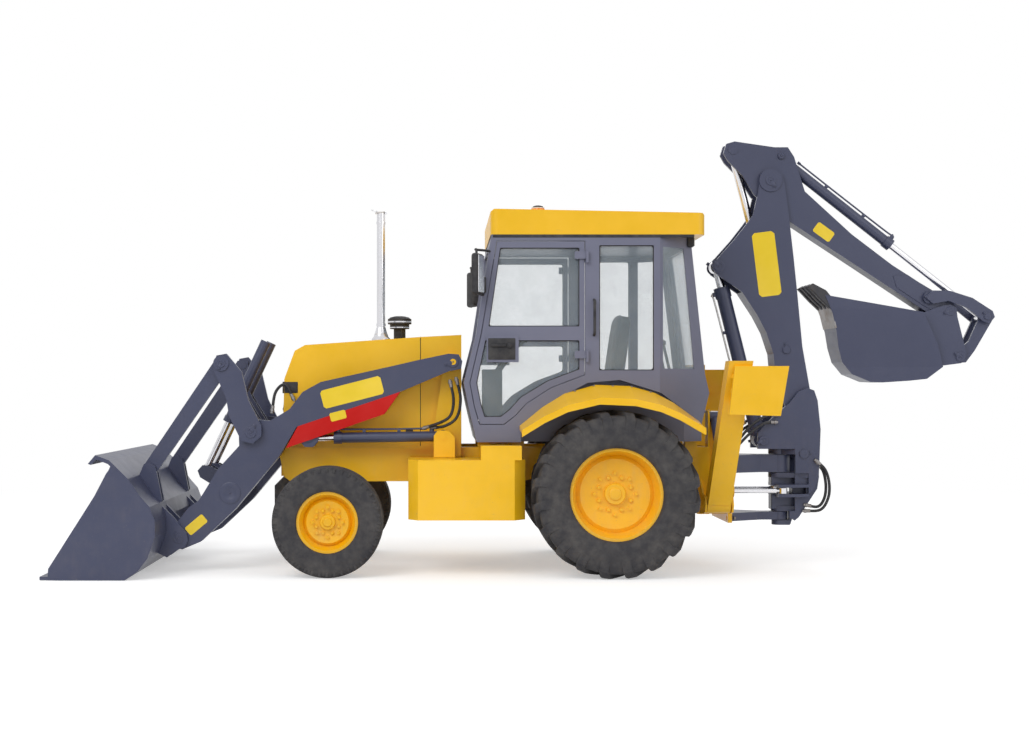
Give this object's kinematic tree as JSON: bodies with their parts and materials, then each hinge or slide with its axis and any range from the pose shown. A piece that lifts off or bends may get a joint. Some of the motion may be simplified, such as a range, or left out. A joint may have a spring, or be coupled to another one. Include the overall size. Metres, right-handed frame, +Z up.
{
  "type": "backhoe loader",
  "caption": "Wheeled construction machine with a front loading bucket on lift arms, a closed cab, and a rear digging arm with folding stabilizer legs.",
  "frame": {"origin": "on the ground, at the middle of the overall length and width", "axes": "+X towards the rear digging arm, -X towards the loader bucket, +Y to the machine's right, +Z up"},
  "size_m": [7.735, 2.27, 3.56],
  "materials": {
    "body_yellow": "golden yellow enamel",
    "arm_slate": "dark slate enamel",
    "cab_grey": "grey enamel",
    "wheel_yellow": "yellow enamel",
    "safety_red": "red enamel",
    "cast_dark": "dark painted casting",
    "chrome": "hard chrome",
    "steel": "heat-stained steel pipe",
    "tyre": "black tyre rubber",
    "glass": "pale tinted glass",
    "lamp_lens": "clear ribbed lens",
    "black_plastic": "black moulding",
    "seat_vinyl": "black vinyl"
  },
  "bodies": {
    "root": {"main_frame": "body_yellow", "swing_frame": "body_yellow", "front_counterweight": "cast_dark", "front_axle": "body_yellow", "rear_axle": "body_yellow", "engine_block": "cast_dark", "hood": "body_yellow", "exhaust_stack": "steel", "pre_cleaner": "black_plastic", "side_boxes": "body_yellow", "rear_fenders": "body_yellow", "cab_frame": "cab_grey", "cab_roof": "body_yellow", "cab_windows": "glass", "lamps": "lamp_lens", "seat_cushions": "seat_vinyl", "cab_controls": "black_plastic"},
    "knuckle_left": {"knuckle_left": "body_yellow"},
    "knuckle_right": {"knuckle_right": "body_yellow"},
    "front_wheel_left": {"front_tyre_left": "tyre", "front_rim_left": "wheel_yellow"},
    "front_wheel_right": {"front_tyre_right": "tyre", "front_rim_right": "wheel_yellow"},
    "rear_wheel_left": {"rear_tyre_left": "tyre", "rear_rim_left": "wheel_yellow"},
    "rear_wheel_right": {"rear_tyre_right": "tyre", "rear_rim_right": "wheel_yellow"},
    "lift_arms": {"lift_arms": "arm_slate", "safety_struts": "safety_red"},
    "loader_bucket": {"loader_bucket": "arm_slate"},
    "bucket_rocker": {"bucket_rocker": "arm_slate"},
    "push_links": {"push_links": "arm_slate"},
    "tilt_barrels": {"tilt_barrels": "arm_slate"},
    "tilt_rods": {"tilt_rods": "chrome"},
    "lift_barrels": {"lift_barrels": "arm_slate"},
    "lift_rods": {"lift_rods": "chrome"},
    "swing_post": {"swing_post": "arm_slate"},
    "boom": {"boom": "arm_slate"},
    "dipper": {"dipper": "arm_slate"},
    "hoe_bucket": {"hoe_bucket": "arm_slate"},
    "idler_links": {"idler_links": "arm_slate"},
    "coupler_link": {"coupler_link": "arm_slate"},
    "boom_barrel": {"boom_barrel": "arm_slate"},
    "boom_rod": {"boom_rod": "chrome"},
    "crowd_barrel": {"crowd_barrel": "arm_slate"},
    "crowd_rod": {"crowd_rod": "chrome"},
    "hoe_ram_barrel": {"hoe_ram_barrel": "arm_slate"},
    "hoe_ram_rod": {"hoe_ram_rod": "chrome"},
    "swing_rod_left": {"swing_rod_left": "chrome"},
    "swing_rod_right": {"swing_rod_right": "chrome"},
    "stabilizer_leg_left": {"stabilizer_leg_left": "body_yellow"},
    "stabilizer_leg_right": {"stabilizer_leg_right": "body_yellow"},
    "stabilizer_barrel_left": {"stabilizer_barrel_left": "arm_slate"},
    "stabilizer_barrel_right": {"stabilizer_barrel_right": "arm_slate"},
    "stabilizer_rod_left": {"stabilizer_rod_left": "chrome"},
    "stabilizer_rod_right": {"stabilizer_rod_right": "chrome"},
    "door_left": {"door_left": "cab_grey", "door_glass_left": "glass"},
    "door_right": {"door_right": "cab_grey", "door_glass_right": "glass"}
  },
  "joints": [
    {"name": "loader_lift", "type": "hinge", "parent": "root", "child": "lift_arms", "pos_m": [-0.6755, 0, 1.695], "axis": [0, 1, 0], "range_deg": [0, 75]},
    {"name": "lift_barrel_pivot", "type": "hinge", "parent": "root", "child": "lift_barrels", "pos_m": [-0.7565, 0, 1.095], "axis": [0, 1, 0], "range_deg": [0, 64]},
    {"name": "lift_rod_stroke", "type": "slide", "parent": "lift_barrels", "child": "lift_rods", "axis": [-0.9999, 0, -0.0148], "range_m": [0, 0.683]},
    {"name": "loader_bucket_tilt", "type": "hinge", "parent": "lift_arms", "child": "loader_bucket", "pos_m": [-2.8775, 0, 0.275], "axis": [0, -1, 0], "range_deg": [-38, 100]},
    {"name": "rocker_pivot", "type": "hinge", "parent": "lift_arms", "child": "bucket_rocker", "pos_m": [-2.2965, 0, 1.129], "axis": [0, -1, 0], "range_deg": [-38, 100]},
    {"name": "push_link_pivot", "type": "hinge", "parent": "bucket_rocker", "child": "push_links", "pos_m": [-2.5325, 0, 1.683], "axis": [0, -1, 0], "range_deg": [-100, 38]},
    {"name": "tilt_barrel_pivot", "type": "hinge", "parent": "bucket_rocker", "child": "tilt_barrels", "pos_m": [-2.4455, 0, 1.415], "axis": [0, -1, 0], "range_deg": [-93, 36]},
    {"name": "tilt_rod_stroke", "type": "slide", "parent": "tilt_barrels", "child": "tilt_rods", "axis": [-0.4235, 0, -0.9059], "range_m": [-0.403, 0.154]},
    {"name": "swing", "type": "hinge", "parent": "root", "child": "swing_post", "pos_m": [2.0895, 0, 0.65], "axis": [0, 0, 1], "range_deg": [-90, 90]},
    {"name": "swing_rod_left_stroke", "type": "slide", "parent": "root", "child": "swing_rod_left", "axis": [1, 0, 0], "range_m": [-0.152, 0.152]},
    {"name": "swing_rod_right_stroke", "type": "slide", "parent": "root", "child": "swing_rod_right", "axis": [1, 0, 0], "range_m": [-0.152, 0.152]},
    {"name": "boom", "type": "hinge", "parent": "swing_post", "child": "boom", "pos_m": [2.2635, 0, 0.933], "axis": [0, 1, 0], "range_deg": [0, 105]},
    {"name": "boom_barrel_pivot", "type": "hinge", "parent": "swing_post", "child": "boom_barrel", "pos_m": [1.9245, 0, 1.045], "axis": [0, 1, 0], "range_deg": [0, 100]},
    {"name": "boom_rod_stroke", "type": "slide", "parent": "boom_barrel", "child": "boom_rod", "axis": [-0.2416, 0, 0.9704], "range_m": [0, 0.543]},
    {"name": "dipper", "type": "hinge", "parent": "boom", "child": "dipper", "pos_m": [1.9945, 0, 3.228], "axis": [0, -1, 0], "range_deg": [0, 115]},
    {"name": "crowd_barrel_pivot", "type": "hinge", "parent": "boom", "child": "crowd_barrel", "pos_m": [2.1265, 0, 1.806], "axis": [0, -1, 0], "range_deg": [-2, 0]},
    {"name": "crowd_rod_stroke", "type": "slide", "parent": "crowd_barrel", "child": "crowd_rod", "axis": [-0.252, 0, 0.9677], "range_m": [-0.69, 0]},
    {"name": "hoe_bucket_curl", "type": "hinge", "parent": "dipper", "child": "hoe_bucket", "pos_m": [3.5035, 0, 2.131], "axis": [0, -1, 0], "range_deg": [0, 160]},
    {"name": "idler_pivot", "type": "hinge", "parent": "dipper", "child": "idler_links", "pos_m": [3.3285, 0, 2.246], "axis": [0, -1, 0], "range_deg": [0, 122]},
    {"name": "coupler_pivot", "type": "hinge", "parent": "idler_links", "child": "coupler_link", "pos_m": [3.8075, 0, 2.085], "axis": [0, -1, 0], "range_deg": [-32, 0]},
    {"name": "hoe_barrel_pivot", "type": "hinge", "parent": "dipper", "child": "hoe_ram_barrel", "pos_m": [2.0905, 0, 3.439], "axis": [0, -1, 0], "range_deg": [0, 7]},
    {"name": "hoe_rod_stroke", "type": "slide", "parent": "hoe_ram_barrel", "child": "hoe_ram_rod", "axis": [0.7852, 0, -0.6192], "range_m": [-0.862, 0]},
    {"name": "stabilizer_left", "type": "hinge", "parent": "root", "child": "stabilizer_leg_left", "pos_m": [1.4615, -0.595, 0.545], "axis": [1, 0, 0], "range_deg": [0, 90]},
    {"name": "stabilizer_barrel_left_pivot", "type": "hinge", "parent": "root", "child": "stabilizer_barrel_left", "pos_m": [1.4895, -0.295, 1.245], "axis": [1, 0, 0], "range_deg": [0, 7.6]},
    {"name": "stabilizer_rod_left_stroke", "type": "slide", "parent": "stabilizer_barrel_left", "child": "stabilizer_rod_left", "axis": [0, -0.6811, -0.7322], "range_m": [0, 0.397]},
    {"name": "door_left", "type": "hinge", "parent": "root", "child": "door_left", "pos_m": [0.3895, -0.8, 1.9], "axis": [0, 0, 1], "range_deg": [0, 95]},
    {"name": "stabilizer_right", "type": "hinge", "parent": "root", "child": "stabilizer_leg_right", "pos_m": [1.4615, 0.595, 0.545], "axis": [-1, 0, 0], "range_deg": [0, 90]},
    {"name": "stabilizer_barrel_right_pivot", "type": "hinge", "parent": "root", "child": "stabilizer_barrel_right", "pos_m": [1.4895, 0.295, 1.245], "axis": [-1, 0, 0], "range_deg": [0, 7.6]},
    {"name": "stabilizer_rod_right_stroke", "type": "slide", "parent": "stabilizer_barrel_right", "child": "stabilizer_rod_right", "axis": [0, 0.6811, -0.7322], "range_m": [0, 0.397]},
    {"name": "door_right", "type": "hinge", "parent": "root", "child": "door_right", "pos_m": [0.3895, 0.8, 1.9], "axis": [0, 0, -1], "range_deg": [0, 95]},
    {"name": "steer_left", "type": "hinge", "parent": "root", "child": "knuckle_left", "pos_m": [-1.6605, -0.64, 0.435], "axis": [0, 0, 1], "range_deg": [-35, 35]},
    {"name": "front_wheel_left_spin", "type": "hinge", "parent": "knuckle_left", "child": "front_wheel_left", "pos_m": [-1.6605, -0.885, 0.435], "axis": [0, 1, 0], "continuous": true},
    {"name": "rear_wheel_left_spin", "type": "hinge", "parent": "root", "child": "rear_wheel_left", "pos_m": [0.5895, -0.89, 0.655], "axis": [0, 1, 0], "continuous": true},
    {"name": "steer_right", "type": "hinge", "parent": "root", "child": "knuckle_right", "pos_m": [-1.6605, 0.64, 0.435], "axis": [0, 0, 1], "range_deg": [-35, 35]},
    {"name": "front_wheel_right_spin", "type": "hinge", "parent": "knuckle_right", "child": "front_wheel_right", "pos_m": [-1.6605, 0.885, 0.435], "axis": [0, 1, 0], "continuous": true},
    {"name": "rear_wheel_right_spin", "type": "hinge", "parent": "root", "child": "rear_wheel_right", "pos_m": [0.5895, 0.89, 0.655], "axis": [0, 1, 0], "continuous": true}
  ],
  "couplings": [
    {"joint": "lift_barrel_pivot", "follows": "loader_lift", "ratio": 0.844},
    {"joint": "lift_rod_stroke", "follows": "loader_lift", "m_per_rad": 0.5202},
    {"joint": "rocker_pivot", "follows": "loader_bucket_tilt", "ratio": 1},
    {"joint": "push_link_pivot", "follows": "loader_bucket_tilt", "ratio": -1},
    {"joint": "tilt_barrel_pivot", "follows": "loader_bucket_tilt", "ratio": -0.92},
    {"joint": "tilt_rod_stroke", "follows": "loader_bucket_tilt", "m_per_rad": -0.23},
    {"joint": "swing_rod_left_stroke", "follows": "swing", "m_per_rad": 0.0955},
    {"joint": "swing_rod_right_stroke", "follows": "swing", "m_per_rad": -0.0955},
    {"joint": "boom_barrel_pivot", "follows": "boom", "ratio": 0.9476},
    {"joint": "boom_rod_stroke", "follows": "boom", "m_per_rad": 0.2952},
    {"joint": "crowd_barrel_pivot", "follows": "dipper", "ratio": -0.0113},
    {"joint": "crowd_rod_stroke", "follows": "dipper", "m_per_rad": -0.3428},
    {"joint": "idler_pivot", "follows": "hoe_bucket_curl", "ratio": 0.7588},
    {"joint": "coupler_pivot", "follows": "hoe_bucket_curl", "ratio": -0.195},
    {"joint": "hoe_barrel_pivot", "follows": "hoe_bucket_curl", "ratio": 0.0398},
    {"joint": "hoe_rod_stroke", "follows": "hoe_bucket_curl", "m_per_rad": -0.3083},
    {"joint": "stabilizer_barrel_left_pivot", "follows": "stabilizer_left", "ratio": 0.082},
    {"joint": "stabilizer_rod_left_stroke", "follows": "stabilizer_left", "m_per_rad": 0.2515},
    {"joint": "stabilizer_barrel_right_pivot", "follows": "stabilizer_right", "ratio": 0.082},
    {"joint": "stabilizer_rod_right_stroke", "follows": "stabilizer_right", "m_per_rad": 0.2515},
    {"joint": "steer_right", "follows": "steer_left", "ratio": 1}
  ]
}
